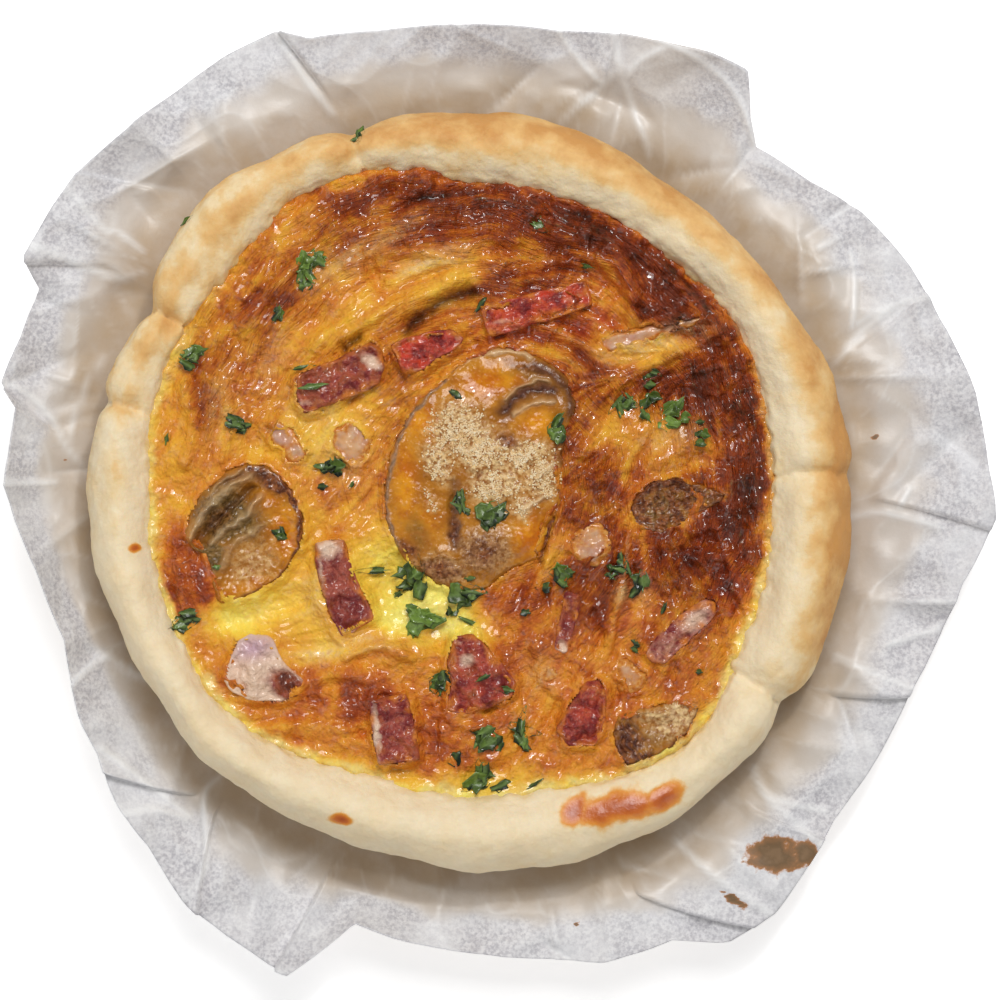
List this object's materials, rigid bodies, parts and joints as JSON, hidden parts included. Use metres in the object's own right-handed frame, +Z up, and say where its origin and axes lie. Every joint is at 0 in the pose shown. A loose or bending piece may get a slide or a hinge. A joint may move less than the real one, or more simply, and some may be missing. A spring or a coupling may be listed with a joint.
{
  "type": "small mushroom quiche",
  "caption": "Small round open savoury tart with a rolled pastry rim and a baked egg filling with mushroom, ham, onion and parsley, on crumpled baking paper.",
  "frame": {"origin": "centre of the bounding box on the surface that the baking paper stands on", "axes": "+Z up; +X to the right and +Y to the top of the picture, which looks straight down"},
  "size_m": [0.197, 0.188, 0.0326],
  "materials": {
    "crust": "baked pale pastry, matt, golden on its outer edge",
    "filling": "baked egg and cheese, glossy, from yellow to dark brown",
    "baking_paper": "thin greaseproof paper, slightly greasy near the crust",
    "mushroom": "baked sliced mushroom, moist",
    "ham": "baked ham and bacon, moist",
    "onion": "soft baked onion, translucent"
  },
  "bodies": {
    "root": {"baking_paper": "baking_paper", "crust": "crust", "filling": "filling", "mushroom_1": "mushroom", "mushroom_2": "mushroom", "mushroom_3": "mushroom", "mushroom_4": "mushroom", "ham_1": "ham", "ham_2": "ham", "ham_3": "ham", "ham_4": "ham", "ham_5": "ham", "ham_6": "ham", "ham_7": "ham", "ham_8": "ham", "ham_9": "ham", "ham_10": "ham", "onion_1": "onion", "onion_2": "onion", "onion_3": "onion", "onion_4": "onion", "onion_5": "onion", "onion_6": "onion"}
  },
  "joints": []
}
